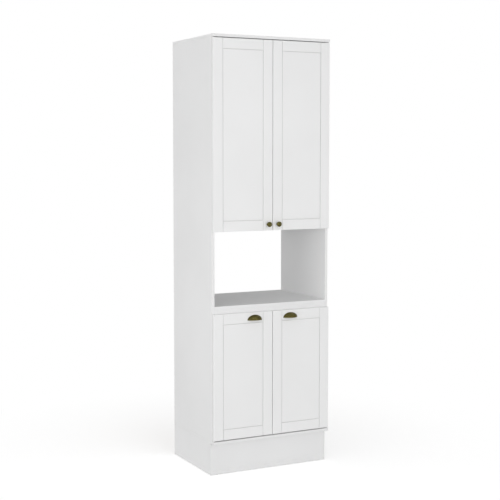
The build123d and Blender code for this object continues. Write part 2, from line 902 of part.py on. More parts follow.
def main():
    """Build every piece and write it."""
    os.makedirs("parts", exist_ok=True)
    join_carcase()
    join_rails()
    join_plinth()
    for z in upper_shelf_zs + [lower_shelf_z]:
        support_shelf(z)
    for z in upper_hinge_zs + lower_hinge_zs:
        fit("hinge_plates", hinge_plate(z))
        fit("hinge_arms", hinge_arm(z))
        fit("hinge_arm_screws", hinge_arm_screw(z))
        place_plate_screws(z)
    fit("door_bumpers", bumper(niche_top_under + board_t / 2))
    fit("door_bumpers", bumper((lower_door_high + front_rail_under) / 2))
    for name, piece in carcase_pieces().items():
        write(name, piece)
    for name, pieces in fittings.items():
        write(name, both(pieces))
    for level in ("upper", "lower"):
        for name, pieces in door_pieces(level).items():
            write(f"{level}_left_{name}", pieces)
            if isinstance(pieces, list):
                write(f"{level}_right_{name}", [mirrored(piece) for piece in pieces])
            else:
                write(f"{level}_right_{name}", mirrored(pieces))


main()
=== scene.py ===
# %% [markdown]
# # A tall oven cabinet, finished in Blender
#
# The packed model already holds every board, door, hinge and screw at its real size, and it never
# moves here. This notebook gives the pieces their surfaces, rebuilds the two kinds of handle as
# finer meshes, and sets up the studio that they are photographed in. Everything is in metres: X
# runs to the right along the front, Y runs towards the wall behind and Z is up.

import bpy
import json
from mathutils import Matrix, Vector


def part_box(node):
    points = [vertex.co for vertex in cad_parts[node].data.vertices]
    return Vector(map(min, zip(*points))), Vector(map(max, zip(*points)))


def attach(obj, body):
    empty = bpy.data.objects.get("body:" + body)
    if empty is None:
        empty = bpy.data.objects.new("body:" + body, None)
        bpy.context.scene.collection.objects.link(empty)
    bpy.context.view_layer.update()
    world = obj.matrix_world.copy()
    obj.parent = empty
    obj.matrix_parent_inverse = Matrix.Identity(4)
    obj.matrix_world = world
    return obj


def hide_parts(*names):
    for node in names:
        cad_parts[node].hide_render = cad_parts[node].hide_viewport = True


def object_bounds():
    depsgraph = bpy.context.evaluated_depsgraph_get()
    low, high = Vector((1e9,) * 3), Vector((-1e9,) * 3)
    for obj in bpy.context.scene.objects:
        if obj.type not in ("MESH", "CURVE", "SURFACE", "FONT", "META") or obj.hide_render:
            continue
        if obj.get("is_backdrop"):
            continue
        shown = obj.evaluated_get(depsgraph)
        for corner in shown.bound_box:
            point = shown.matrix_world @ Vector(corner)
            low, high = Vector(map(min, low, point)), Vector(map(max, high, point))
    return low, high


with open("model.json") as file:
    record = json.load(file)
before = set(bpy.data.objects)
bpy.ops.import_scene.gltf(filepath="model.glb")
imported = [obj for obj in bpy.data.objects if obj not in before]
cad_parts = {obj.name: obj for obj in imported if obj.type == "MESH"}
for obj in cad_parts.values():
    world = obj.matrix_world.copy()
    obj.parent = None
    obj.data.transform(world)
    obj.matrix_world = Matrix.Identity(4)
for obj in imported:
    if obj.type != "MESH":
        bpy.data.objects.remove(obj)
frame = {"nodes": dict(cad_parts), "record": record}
cad_low, cad_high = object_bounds()
print("The cabinet measures", [round(high - low, 4) for low, high in zip(cad_low, cad_high)])

# %% Tools that the later cells share
import json
import math

import bpy
from mathutils import Vector

scene = bpy.context.scene
nodes = frame["nodes"]
bodies = frame["record"]["behaviour"]["bodies"]
body_of = {name: body for body, names in bodies.items() for name in names}

# %% [markdown]
# ## The camera
#
# Tall furniture is photographed from a few metres away with a long lens, because a short lens makes
# the near corner loom. The view could be set by hand until it looks right, but comparing a few
# edges of the cabinet with the same edges in the photograph settles it better: the camera stands to
# the left, a little above the niche, and looks slightly down. A small vertical shift of the sensor
# puts the cabinet in the middle of the frame. A large shift would keep the upright edges exactly
# parallel, but every other view keeps the shift too and would lose the top of the cabinet.

# %% The camera
camera_place = (-2.8154, -5.4937, 1.7004)
turn_to_right = 0.4722
tilt_down = 0.0722
focal_length_mm = 80.7
sensor_mm = 36.0
rise_of_frame = -0.030

camera_data = bpy.data.cameras.new("camera")
camera_data.sensor_width = sensor_mm
camera_data.lens = focal_length_mm
camera_data.shift_y = rise_of_frame
camera = bpy.data.objects.new("camera", camera_data)
camera.location = camera_place
camera.rotation_euler = (math.pi / 2 - tilt_down, 0, -turn_to_right)
scene.collection.objects.link(camera)
scene.camera = camera
scene.view_settings.view_transform = "Standard"
field_of_view = 2 * math.degrees(math.atan(sensor_mm / 2 / focal_length_mm))
print("The lens covers", round(field_of_view, 1), "degrees")

# %% [markdown]
# ## Shader sums written as Python
#
# Each finish below is a small calculation on noise and position. Drawn as nodes, such a sum takes a
# dozen boxes and is hard to read, so a short class wraps a socket and lets it take part in a
# formula: 1 - mask adds the Subtract node for us. All other nodes come from one method, which
# takes the kind of node, its settings, and the values or links of its sockets.


# %% A socket that can be used in sums
class Signal:
    """A node's output that takes part in a formula as a number does."""

    def __init__(self, sheet, socket):
        self.sheet = sheet
        self.socket = socket

    def apply(self, operation, *values):
        return self.sheet.node("ShaderNodeMath", {"operation": operation}, dict(enumerate(values)))

    def __add__(self, other):
        return self.apply("ADD", self, other)

    def __sub__(self, other):
        return self.apply("SUBTRACT", self, other)

    def __rsub__(self, other):
        return self.apply("SUBTRACT", other, self)

    def __mul__(self, other):
        return self.apply("MULTIPLY", self, other)

    def __abs__(self):
        return self.apply("ABSOLUTE", self)

    __radd__ = __add__
    __rmul__ = __mul__

    def least(self, other):
        return self.apply("MINIMUM", self, other)

    def most(self, other):
        return self.apply("MAXIMUM", self, other)


print("A signal takes part in sums such as 1 - mask * 0.5")


# %% A tree of nodes
class Tree:
    """The node tree of one material or of the world."""

    def __init__(self, owner):
        owner.use_nodes = True
        self.owner = owner
        self.tree = owner.node_tree
        self.tree.nodes.clear()

    def node(self, kind, settings=None, sockets=None, output=0):
        """Adds a node: first its settings, then the values or links of its sockets."""
        made = self.tree.nodes.new(kind)
        for name, value in (settings or {}).items():
            if name == "stops":
                self.set_stops(made.color_ramp, value)
            else:
                setattr(made, name, value)
        for name, value in (sockets or {}).items():
            if isinstance(value, Signal):
                self.tree.links.new(value.socket, made.inputs[name])
            else:
                made.inputs[name].default_value = value
        return Signal(self, made.outputs[output]) if made.outputs else made

    def set_stops(self, ramp, stops):
        """Gives a colour ramp its stops."""
        while len(ramp.elements) < len(stops):
            ramp.elements.new(1.0)
        for element, (place, colour) in zip(ramp.elements, stops):
            element.position = place
            element.color = (*colour, 1.0)


print("A tree adds a node with its settings and sockets in one call")


# %% The sheet that finishes are drawn on
class Sheet(Tree):
    """A tree with the patterns and masks that most finishes need."""

    def place(self, output="Object"):
        """Where a point of the piece is, in metres, or the way its surface faces."""
        return self.node("ShaderNodeTexCoord", {}, {}, output)

    def parts(self, vector):
        """The X, Y and Z of a vector."""
        return [self.node("ShaderNodeSeparateXYZ", {}, {0: vector}, axis) for axis in range(3)]

    def stretched(self, vector, factors):
        """The vector with each of its parts multiplied, which makes noise long or short that way."""
        return self.node("ShaderNodeVectorMath", {"operation": "MULTIPLY"}, {0: vector, 1: factors})

    def noise(self, where, lumps, detail=2.0, roughness=0.5):
        """Soft noise around 0.5, with so many lumps in one metre."""
        sockets = {"Vector": where, "Scale": lumps, "Detail": detail, "Roughness": roughness}
        return self.node("ShaderNodeTexNoise", {}, sockets)

    def step(self, value, low, high):
        """0 at low, 1 at high, and a soft change between them."""
        settings = {"interpolation_type": "SMOOTHSTEP"}
        return self.node("ShaderNodeMapRange", settings, {0: value, 1: low, 2: high})

    def mix(self, share, first, second):
        """Two colours, mixed."""
        return self.node("ShaderNodeMix", {"data_type": "RGBA"}, {0: share, 6: first, 7: second}, 2)

    def bump(self, height, depth):
        """A bumpy surface. The height runs from 0 to 1 and the depth is in metres."""
        return self.node("ShaderNodeBump", {}, {"Height": height, "Distance": depth})

    def surface(self, sockets):
        """The shader of the whole surface."""
        shader = self.node("ShaderNodeBsdfPrincipled", {}, sockets)
        self.node("ShaderNodeOutputMaterial", {}, {"Surface": shader})
        return self.owner


print("A sheet offers", [name for name in vars(Sheet) if not name.startswith("_")])


# %% New sheets and plain colours
def new_sheet(name):
    """An empty material with its sheet. The packed model has used the plain names already."""
    return Sheet(bpy.data.materials.new(name + "_finish"))


def grey(value):
    """A neutral colour."""
    return (value, value, value, 1.0)


def colour(red, green, blue):
    """A colour as a socket takes it."""
    return (red, green, blue, 1.0)


print("A middle grey is", grey(0.5))

# %% [markdown]
# ## The floor and the white behind it
#
# The picture shows the cabinet on plain white. More light on the floor would give that too, but it
# would bleach the cabinet. So the sky and the floor answer the lens and the mirror rays on their
# own: there they look white, and the floor keeps its shadow close to the plinth, while the
# light that bounces back to the cabinet comes from a plain pale floor in a dimmer room. The sky is
# brighter in front and on the left, where a studio has its white screens. It is dimmest behind the
# cabinet, and that is what makes the inside of the niche grey towards the back.


# %% The sky
def white_to_lens(sheet):
    """1 for rays from the camera and for mirror or glass rays, and 0 for soft bounced light."""
    outputs = ("Is Camera Ray", "Is Glossy Ray", "Is Transmission Ray")
    lens, mirror, glass = [sheet.node("ShaderNodeLightPath", {}, {}, output) for output in outputs]
    return lens.most(mirror).most(glass)


all_round = 0.37
more_in_front = 0.23
more_on_the_left = 0.38
fade = (0.2, -1.0)

world = bpy.data.worlds.new("studio")
scene.world = world
sky = Sheet(world)
across, inward, upward = sky.parts(sky.place("Generated"))
in_front = sky.step(inward, *fade)
on_the_left = sky.step(across, *fade)
strength = all_round + in_front * more_in_front + on_the_left * more_on_the_left
room_light = sky.node("ShaderNodeBackground", {}, {"Color": grey(1.0), "Strength": strength})
seen_white = sky.node("ShaderNodeBackground", {}, {"Color": grey(1.0), "Strength": 1.0})
chosen = sky.node("ShaderNodeMixShader", {}, {0: white_to_lens(sky), 1: room_light, 2: seen_white})
sky.node("ShaderNodeOutputWorld", {}, {"Surface": chosen})
print("The sky gives", round(all_round + more_in_front, 2), "in front and", all_round, "behind")
print("and", round(all_round + more_on_the_left, 2), "on the left")

# %% The floor
floor_half = 30.0
floor_albedo = 0.8
white_added = 0.45
shadow_kept_within = 0.7
all_white_beyond = 2.0

floor_mesh = bpy.data.meshes.new("floor")
corners = [(x * floor_half, y * floor_half, 0) for x, y in ((-1, -1), (1, -1), (1, 1), (-1, 1))]
floor_mesh.from_pydata(corners, [], [(0, 1, 2, 3)])
floor = bpy.data.objects.new("floor", floor_mesh)
scene.collection.objects.link(floor)
floor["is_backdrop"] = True

paving = new_sheet("pale_floor")
bare = paving.node("ShaderNodeBsdfDiffuse", {}, {"Color": grey(floor_albedo)})
added = paving.node("ShaderNodeEmission", {}, {"Color": grey(1.0), "Strength": white_added})
white = paving.node("ShaderNodeEmission", {}, {"Color": grey(1.0), "Strength": 1.0})
brighter = paving.node("ShaderNodeAddShader", {}, {0: bare, 1: added})
from_middle = paving.node("ShaderNodeVectorMath", {"operation": "LENGTH"}, {0: paving.place()}, 1)
far = paving.step(from_middle, shadow_kept_within, all_white_beyond)
seen = paving.node("ShaderNodeMixShader", {}, {0: far, 1: brighter, 2: white})
shown = paving.node("ShaderNodeMixShader", {}, {0: white_to_lens(paving), 1: bare, 2: seen})
paving.node("ShaderNodeOutputMaterial", {}, {"Surface": shown})
floor_mesh.materials.append(paving.owner)
print("The floor is", 2 * floor_half, "m wide")

# %% [markdown]
# ## The lamps
#
# White furniture shows its shape only through soft differences of grey. One small lamp would give
# hard shadows in the niche, and an even dome would give none. Large area lamps are used instead, as
# softboxes are in a studio: one in front, a key lamp at the front left and one on the left for the
# side panel. Their powers needn't be guessed. Light adds up, so a picture was rendered with each
# lamp alone, and the mixture of those pictures that comes closest to the photograph's greys gives
# the watts. Two more lamps serve the sides that the photograph doesn't show: one on the right and a
# little behind, and one over the top, no larger than the top itself, so that it leaves the doors
# alone. No lamp shows to the camera.

# %% The lamps
niche_height = (0, 0, 1.0)
over_the_top = (0, 0.013, 3.6)
top_middle = (0, 0.013, 2.3)


def softbox(name, place, target, width, height, watts):
    """A large area lamp that points at a target."""
    data = bpy.data.lights.new(name, "AREA")
    data.shape = "RECTANGLE"
    data.size = width
    data.size_y = height
    data.energy = watts
    lamp = bpy.data.objects.new(name, data)
    lamp.location = place
    aim = Vector(target) - Vector(place)
    lamp.rotation_euler = aim.to_track_quat("-Z", "Y").to_euler()
    lamp.visible_camera = False
    scene.collection.objects.link(lamp)


softbox("front_lamp", (-0.3, -7.0, 1.7), niche_height, width=3.5, height=1.6, watts=102)
softbox("key_lamp", (-4.6, -4.8, 1.6), niche_height, width=3.0, height=1.6, watts=48)
softbox("left_lamp", (-6.0, -1.4, 1.1), niche_height, width=3.0, height=1.8, watts=60)
softbox("right_lamp", (6.0, 1.4, 1.1), niche_height, width=3.0, height=1.8, watts=70)
softbox("top_lamp", over_the_top, top_middle, width=0.66, height=0.48, watts=6)

# %% [markdown]
# ## White board
#
# The carcase is chipboard with a white melamine skin. A plain white material would do from afar,
# but the skin of a real board has a fine pearl from the press plate, the tone drifts a little over
# a metre, and wiping leaves duller and shinier streaks. Inside a drilled hole the skin ends and the
# brown flakes show, and so they do on the rear edges, which get no edging. The material finds all
# of that from one thing, the distance to the faces of the board, so each board carries its two
# corners as properties that the shader can read. A thin board that stands across the rear turns its
# skin to the wall and not an edge, so a third property says whether the rear is bare. The members
# of a door carry the corners of their whole door too, which the lacquer further down needs.

# %% What every board carries
deep_board = 0.03
frame_parts = ("hinge_stile", "meeting_stile", "rails")

for name, thing in nodes.items():
    low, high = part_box(name)
    thing["board_low"] = low
    thing["board_high"] = high
    thing["bare_behind"] = 1.0 if high.y - low.y > deep_board else 0.0
for body in sorted(set(bodies) - {"cabinet"}):
    level_and_side = body.replace("door_", "")
    frame_members = [f"{level_and_side}_{part}" for part in frame_parts]
    boxes = [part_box(name) for name in frame_members]
    low = [min(box[0][axis] for box in boxes) for axis in range(3)]
    high = [max(box[1][axis] for box in boxes) for axis in range(3)]
    for name in frame_members + [level_and_side + "_panel"]:
        nodes[name]["door_low"] = low
        nodes[name]["door_high"] = high
    print(body, "is", round(high[0] - low[0], 4), "m wide and", round(high[2] - low[2], 4), "m high")

# %% Masks made from the corners of a board
skin = 0.00035
cut_through = (skin, 1.2 * skin)
edging = 0.0009
seam = 0.00012


def carried(sheet, name, output="Vector"):
    """A corner or a number that the piece carries."""
    settings = {"attribute_type": "OBJECT", "attribute_name": name}
    return sheet.node("ShaderNodeAttribute", settings, {}, output)


def depths(sheet, where):
    """Distances from a point to the six faces of its board, low ones first."""
    difference = {"operation": "SUBTRACT"}
    low = carried(sheet, "board_low")
    high = carried(sheet, "board_high")
    from_low = sheet.node("ShaderNodeVectorMath", difference, {0: where, 1: low})
    from_high = sheet.node("ShaderNodeVectorMath", difference, {0: high, 1: where})
    return sheet.parts(from_low) + sheet.parts(from_high)


def core_mask(sheet, six):
    """1 where the skin has been cut through."""
    nearest = six[0]
    for other in six[1:]:
        nearest = nearest.least(other)
    return sheet.step(nearest, *cut_through)


def rear_mask(sheet, six):
    """1 on the rear edge of a board that got no edging there."""
    return carried(sheet, "bare_behind", "Fac") * (1 - sheet.step(six[4], 0, skin))


def seam_mask(sheet, six):
    """1 on the hairline between the edging and the skin, along the front edge."""
    return 1 - sheet.step(abs(six[1] - edging), 0, seam)


print("The skin is", round(skin * 1000, 2), "mm thick and the edging", round(edging * 1000, 2), "mm")

# %% Chipboard
flakes_in_a_metre = 650.0
flake_stops = [(0.0, (0.20, 0.12, 0.06)), (0.45, (0.42, 0.29, 0.16)), (1.0, (0.62, 0.47, 0.29))]


def chipboard(sheet, where):
    """The colour of cut chipboard: pale and dark flakes of a millimetre or two."""
    sockets = {"Vector": where, "Scale": flakes_in_a_metre}
    flakes = sheet.node("ShaderNodeTexVoronoi", {}, sockets, "Color")
    return sheet.node("ShaderNodeValToRGB", {"stops": flake_stops}, {0: sheet.parts(flakes)[0]})


print("A flake is about", round(1000 / flakes_in_a_metre, 1), "mm across")

# %% White melamine
dim_skin = colour(0.803, 0.804, 0.804)
bright_skin = colour(0.828, 0.829, 0.830)
scuff_grey = colour(0.42, 0.40, 0.37)
glue_line = colour(0.5, 0.49, 0.47)
upright_streaks = (1.0, 1.0, 0.18)
level_scuffs = (0.5, 0.5, 3.0)
scuffed_up_to = 0.06
skin_depth = 0.00004
skin_shine = 0.12


def melamine():
    """The finish of a white board."""
    sheet = new_sheet("white_board")
    where = sheet.place()
    six = depths(sheet, where)
    drift = sheet.step(sheet.noise(where, 2.2, detail=3.0), 0.3, 0.7)
    pearl = sheet.noise(where, 900.0)
    wiped = sheet.noise(sheet.stretched(where, upright_streaks), 26.0, detail=4.0, roughness=0.6)
    scuffs = sheet.noise(sheet.stretched(where, level_scuffs), 60.0, detail=5.0, roughness=0.7)
    near_floor = 1 - sheet.step(sheet.parts(where)[2], 0.0, scuffed_up_to)
    worn = sheet.step(scuffs, 0.52, 0.62) * near_floor
    line = seam_mask(sheet, six)
    bare = core_mask(sheet, six).most(rear_mask(sheet, six))
    marked = sheet.mix(worn * 0.12, sheet.mix(drift, dim_skin, bright_skin), scuff_grey)
    seamed = sheet.mix(line * 0.5, marked, glue_line)
    tone = sheet.mix(bare, seamed, chipboard(sheet, where))
    roughness = 0.72 + wiped * 0.14 + bare * 0.1
    height = pearl * 0.5 - line * 0.6 + bare * sheet.noise(where, 500.0) * 2.0
    return sheet.surface({
        "Base Color": tone,
        "Roughness": roughness.least(0.9),
        "Normal": sheet.bump(height, skin_depth),
        "Specular IOR Level": skin_shine,
    })


white_board = melamine()
print("White board:", len(white_board.node_tree.nodes), "nodes")

# %% [markdown]
# ## Door lacquer
#
# The doors are painted rather than pressed. Sprayed lacquer settles into a very faint orange peel
# with lumps of two or three millimetres, and it is a little smoother than the board. Where hands
# reach for the handles, it is polished smoother still. That place is found by its distance to the
# middle of the handles, measured in the plane of the doors.
#
# Frame and panel meet in narrow gaps, which the photograph shows as thin grey lines. Their shadow
# alone is paler than that, because white walls pass the light on, so their walls and floors get
# painted shade: a greyer tone in the colour that darkens them as a deeper shadow would. A mask finds
# them by their depth behind the door's face and keeps clear of the door's own outline.

# %% Where hands reach
knob_middle = sum(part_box("upper_left_knob"), Vector()) / 2
pull_middle = sum(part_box("lower_left_cup_pull"), Vector()) / 2


def handled(sheet, where, middle, reach):
    """1 at a handle of either door and 0 further away than a hand touches."""
    x, y, z = sheet.parts(where)
    flat = sheet.node("ShaderNodeCombineXYZ", {}, {0: abs(x) - abs(middle.x), 2: z - middle.z})
    away = sheet.node("ShaderNodeVectorMath", {"operation": "LENGTH"}, {0: flat}, 1)
    return 1 - sheet.step(away, 0.3 * reach, reach)


print("The middle of a knob is", round(abs(knob_middle.x) * 1000), "mm from the middle of the cabinet")

# %% Where the frame of a door leaves a gap
behind_arris = (0.0002, 0.0006)
behind_panel_face = (0.0017, 0.00238)
behind_tongue = (0.0050, 0.0055)
in_from_outline = (0.004, 0.006)
turned_to_front = (0.1, 0.3)


def groove_shade_mask(sheet, where):
    """1 on the walls and the floor of the narrow gaps round the panel and beside the rails, where the
    painted shade goes.
    """
    x, y, z = sheet.parts(where)
    low = sheet.parts(carried(sheet, "door_low"))
    high = sheet.parts(carried(sheet, "door_high"))
    inside = (x - low[0]).least(high[0] - x).least(z - low[2]).least(high[2] - z)
    deep = y - low[1]
    facing_front = sheet.step(abs(sheet.parts(sheet.place("Normal"))[1]), *turned_to_front)
    wall = (1 - facing_front) * sheet.step(deep, *behind_arris)
    floor_of_gap = sheet.step(deep, *behind_panel_face)
    before_tongue = 1 - sheet.step(deep, *behind_tongue)
    return wall.most(floor_of_gap) * before_tongue * sheet.step(inside, *in_from_outline)


print("Gaps count down to", behind_tongue[1] * 1000, "mm behind the face of a door")

# %% Sprayed lacquer
dim_paint = colour(0.824, 0.825, 0.825)
bright_paint = colour(0.849, 0.850, 0.851)
hand_grey = colour(0.72, 0.70, 0.66)
# The grey of the painted shade in the gaps.
gap_shade_grey = colour(0.41, 0.41, 0.40)
wiped_upright = (1.0, 1.0, 0.2)
paint_depth = 0.00005
hand_round_knob = 0.07
hand_round_pull = 0.10


def lacquer():
    """The finish of the doors."""
    sheet = new_sheet("white_door")
    where = sheet.place()
    drift = sheet.step(sheet.noise(where, 1.8, detail=3.0), 0.3, 0.7)
    peel = sheet.noise(where, 380.0, detail=1.0)
    mist = sheet.noise(where, 1500.0, detail=1.0)
    wiped = sheet.noise(sheet.stretched(where, wiped_upright), 18.0, detail=4.0, roughness=0.6)
    at_knob = handled(sheet, where, knob_middle, hand_round_knob)
    touched = at_knob.most(handled(sheet, where, pull_middle, hand_round_pull))
    clean = sheet.mix(drift, dim_paint, bright_paint)
    handled_tone = sheet.mix(touched * wiped * 0.12, clean, hand_grey)
    # Painted shade: the walls and floors of the narrow gaps are greyed as a deeper shadow there would
    # grey them.
    tone = sheet.mix(groove_shade_mask(sheet, where) * 0.4, handled_tone, gap_shade_grey)
    return sheet.surface({
        "Base Color": tone,
        "Roughness": 0.50 + wiped * 0.16 - touched * 0.10,
        "Normal": sheet.bump(peel * 0.8 + mist * 0.2, paint_depth),
    })


white_door = lacquer()
print("Lacquer:", len(white_door.node_tree.nodes), "nodes")

# %% [markdown]
# ## Hardboard backs
#
# The thin backs are hardboard, painted white on the side that faces the shelves and left brown on
# the side that faces the wall. Two materials on one sheet would need its faces sorted, but the
# way a face points settles it just as well: what faces the wall is brown fibre.

# %% Hardboard
dim_coat = colour(0.78, 0.78, 0.765)
bright_coat = colour(0.82, 0.82, 0.81)
fibre_stops = [(0.3, (0.19, 0.115, 0.06)), (0.7, (0.36, 0.235, 0.13))]
fibres_upright = (1.0, 1.0, 0.35)
fibre_depth = 0.00006


def hardboard():
    """White paint inside and pressed fibre behind."""
    sheet = new_sheet("white_hardboard")
    where = sheet.place()
    faces_wall = sheet.step(sheet.parts(sheet.place("Normal"))[1], 0.3, 0.6)
    fibres = sheet.noise(sheet.stretched(where, fibres_upright), 520.0, detail=5.0, roughness=0.7)
    clouds = sheet.noise(where, 6.0, detail=4.0, roughness=0.6)
    mottled = fibres * 0.6 + clouds * 0.4
    brown = sheet.node("ShaderNodeValToRGB", {"stops": fibre_stops}, {0: mottled})
    return sheet.surface({
        "Base Color": sheet.mix(faces_wall, sheet.mix(clouds, dim_coat, bright_coat), brown),
        "Roughness": 0.5 + faces_wall * 0.25 + fibres * 0.1,
        "Normal": sheet.bump(fibres, fibre_depth),
    })


white_hardboard = hardboard()
print("Hardboard:", len(white_hardboard.node_tree.nodes), "nodes")

# %% [markdown]
# ## Aged brass
#
# The knobs and cup pulls are cast brass with an olive brown patina, rubbed brighter where fingers
# polish them. The patina could be painted by hand, but Blender already knows how sharply a fine
# mesh bends at each point: ridges are rubbed and hollows stay dark. Two sizes of noise
# break up the border, so that the polish looks worn and not sprayed.

# %% Aged brass
patina = (0.024, 0.021, 0.006)
olive_brown = (0.106, 0.093, 0.028)
rubbed_brass = (0.27, 0.235, 0.082)
brass_stops = [(0.0, patina), (0.45, olive_brown), (1.0, rubbed_brass)]
casting_depth = 0.00010


def brass():
    """Patina in the hollows and polish on the ridges."""
    sheet = new_sheet("aged_brass")
    where = sheet.place()
    ridge = sheet.node("ShaderNodeNewGeometry", {}, {}, "Pointiness")
    blotches = sheet.noise(where, 160.0, detail=4.0, roughness=0.6)
    grain = sheet.noise(where, 1400.0, detail=3.0, roughness=0.6)
    rubbed = sheet.step(ridge + (blotches - 0.5) * 0.10 + (grain - 0.5) * 0.04, 0.47, 0.56)
    polish = rubbed * 0.75 + blotches * 0.25
    return sheet.surface({
        "Base Color": sheet.node("ShaderNodeValToRGB", {"stops": brass_stops}, {0: polish}),
        "Roughness": 0.58 - rubbed * 0.24 + grain * 0.08,
        "Metallic": 0.90 + rubbed * 0.10,
        "Normal": sheet.bump(grain * 0.4 + blotches * 0.6, casting_depth),
    })


aged_brass = brass()
print("Brass:", len(aged_brass.node_tree.nodes), "nodes")

# %% [markdown]
# ## Steel, zinc, wood, plastic and rubber
#
# The hidden hardware shows when a door opens. Plated steel is nearly smooth, with fine drag marks
# from the press tool, cast zinc is dull and grainy, and screws carry a passivation film that drifts
# between bluish and yellowish. They differ only in their numbers, so one function makes all three.
# Beech dowels, plastic glides and the soft door pads follow, each with the texture of its process.

# %% Metals
warm_greys = colour(0.62, 0.60, 0.56), colour(0.68, 0.66, 0.62)
dull_greys = colour(0.42, 0.42, 0.43), colour(0.52, 0.52, 0.52)
blue_to_yellow = colour(0.56, 0.58, 0.62), colour(0.64, 0.60, 0.48)
dragged_inward = (1.0, 0.06, 1.0)


def plated(name, film_colours, smooth, marks, lumps, depth):
    """A metal with drag marks or cast grain, whose film drifts between two colours."""
    sheet = new_sheet(name)
    where = sheet.place()
    film = sheet.step(sheet.noise(where, 140.0, detail=3.0), 0.35, 0.65)
    dragged = sheet.noise(sheet.stretched(where, dragged_inward), lumps, detail=3.0, roughness=0.6)
    return sheet.surface({
        "Base Color": sheet.mix(film, *film_colours),
        "Roughness": smooth + dragged * marks,
        "Metallic": 1.0,
        "Normal": sheet.bump(dragged, depth),
    })


nickelled_steel = plated("nickelled_steel", warm_greys, 0.20, marks=0.16, lumps=2400.0, depth=0.00001)
zinc_alloy = plated("zinc_alloy", dull_greys, 0.42, marks=0.25, lumps=900.0, depth=0.00006)
zinc_screw = plated("zinc_screw", blue_to_yellow, 0.28, marks=0.20, lumps=1600.0, depth=0.00002)
print("Metals:", nickelled_steel.name, zinc_alloy.name, zinc_screw.name)

# %% Dowels
pale_wood = colour(0.62, 0.45, 0.28)
dark_fleck = colour(0.50, 0.33, 0.18)
grain_along_dowel = (0.15, 1.0, 1.0)


def beech_wood():
    """Pale wood with short dark flecks along the grain."""
    sheet = new_sheet("beech")
    where = sheet.place()
    grain = sheet.noise(sheet.stretched(where, grain_along_dowel), 900.0, detail=4.0, roughness=0.6)
    return sheet.surface({
        "Base Color": sheet.mix(sheet.step(grain, 0.35, 0.65), pale_wood, dark_fleck),
        "Roughness": 0.55 + grain * 0.2,
        "Normal": sheet.bump(grain, 0.00005),
    })


beech = beech_wood()
print("Dowels:", beech.name)

# %% Glides
off_white = colour(0.75, 0.75, 0.72)
floor_dirt = colour(0.40, 0.38, 0.35)
worn_up_to = 0.0012


def moulded_plastic():
    """Off-white plastic with the texture of a spark-eroded mould, greyed where it has slid."""
    sheet = new_sheet("glide_plastic")
    where = sheet.place()
    erosion = sheet.noise(where, 2200.0, detail=3.0)
    dirt = sheet.noise(where, 300.0, detail=4.0)
    slid = 1 - sheet.step(sheet.parts(where)[2], 0.0, worn_up_to)
    return sheet.surface({
        "Base Color": sheet.mix(slid * dirt, off_white, floor_dirt),
        "Roughness": 0.45 + dirt * 0.2,
        "Normal": sheet.bump(erosion, 0.00003),
    })


glide_plastic = moulded_plastic()
print("Glides:", glide_plastic.name)

# %% Door pads
clear_tone = colour(0.84, 0.85, 0.83)
dust_grey = colour(0.62, 0.60, 0.56)
light_let_through = 0.5


def soft_pad():
    """A clear rubbery pad that has picked up a little dust."""
    sheet = new_sheet("clear_rubber")
    where = sheet.place()
    dust = sheet.step(sheet.noise(where, 1800.0, detail=4.0), 0.5, 0.7)
    return sheet.surface({
        "Base Color": sheet.mix(dust, clear_tone, dust_grey),
        "Roughness": 0.3 + dust * 0.3,
        "Normal": sheet.bump(dust, 0.00002),
        "Transmission Weight": light_let_through,
    })


clear_rubber = soft_pad()
print("Door pads:", clear_rubber.name)

# %% [markdown]
# ## Dressing the pieces
#
# The packed model says which finish each piece takes, by the name of a slot. A list of pieces typed
# by hand would do the same, but it would miss a piece as soon as the model changes, so the record
# that came with the model is read instead.

# %% Give every piece its finish
finishes = {
    "white_board": white_board,
    "white_door": white_door,
    "white_hardboard": white_hardboard,
    "aged_brass": aged_brass,
    "nickelled_steel": nickelled_steel,
    "zinc_alloy": zinc_alloy,
    "zinc_screw": zinc_screw,
    "beech": beech,
    "glide_plastic": glide_plastic,
    "clear_rubber": clear_rubber,
}
for subpart in frame["record"]["subparts"]:
    thing = nodes[subpart["node"]]
    thing.data.materials.clear()
    thing.data.materials.append(finishes[subpart["material_slot"]])

# %% [markdown]
# ## Knobs
#
# A cabinet knob is turned on a lathe, so it is a profile carried round an axis. A screw modifier
# could do that from an edge, but a few lines of bmesh give full control over where the rings lie,
# and the patina needs rings close together at every bead and groove, because it reads the sharpness
# of the surface from them. The profile is written as a list of radii and reaches in millimetres:
# a foot, a slim neck, a trumpet that opens into the head, a rounded rim, a quirk and a low dome.
# Its width and its whole reach are read from the packed knob, so that both fill the same space.

# %% The space that a packed handle takes
mm = 0.001


def width_and_reach(node):
    """How wide a packed handle is and how far it stands out, in millimetres."""
    low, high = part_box(node)
    return round((high.x - low.x) / mm, 2), round((high.y - low.y) / mm, 2)


knob_width, knob_reach = width_and_reach("upper_left_knob")
pull_width, pull_reach = width_and_reach("lower_left_cup_pull")
print("A knob is", knob_width, "mm wide and", knob_reach, "mm deep")
print("A cup pull is", pull_width, "mm wide and", pull_reach, "mm deep")

# %% Meshes from rings
import bmesh

melts_within = 0.002 * mm


def mesh_piece(name, anchor, *lofts):
    """A smooth piece from lofts. A loft is a list of rings of points, each joined to the next one.

    The points are millimetres along the door, out of it and up, counted from the anchor. A ring
    whose points coincide melts into one point, which closes the loft there.
    """
    shell = bmesh.new()
    x, y, z = anchor
    for rings in lofts:
        rows = []
        for ring in rings:
            places = [(x + along * mm, y - out * mm, z + up * mm) for along, out, up in ring]
            rows.append([shell.verts.new(place) for place in places])
        for lower, upper in zip(rows, rows[1:]):
            for here in range(len(lower)):
                after = (here + 1) % len(lower)
                shell.faces.new((lower[here], lower[after], upper[after], upper[here]))
    bmesh.ops.remove_doubles(shell, verts=shell.verts, dist=melts_within)
    bmesh.ops.recalc_face_normals(shell, faces=shell.faces)
    mesh = bpy.data.meshes.new(name)
    shell.to_mesh(mesh)
    shell.free()
    mesh.shade_smooth()
    piece = bpy.data.objects.new(name, mesh)
    scene.collection.objects.link(piece)
    return piece


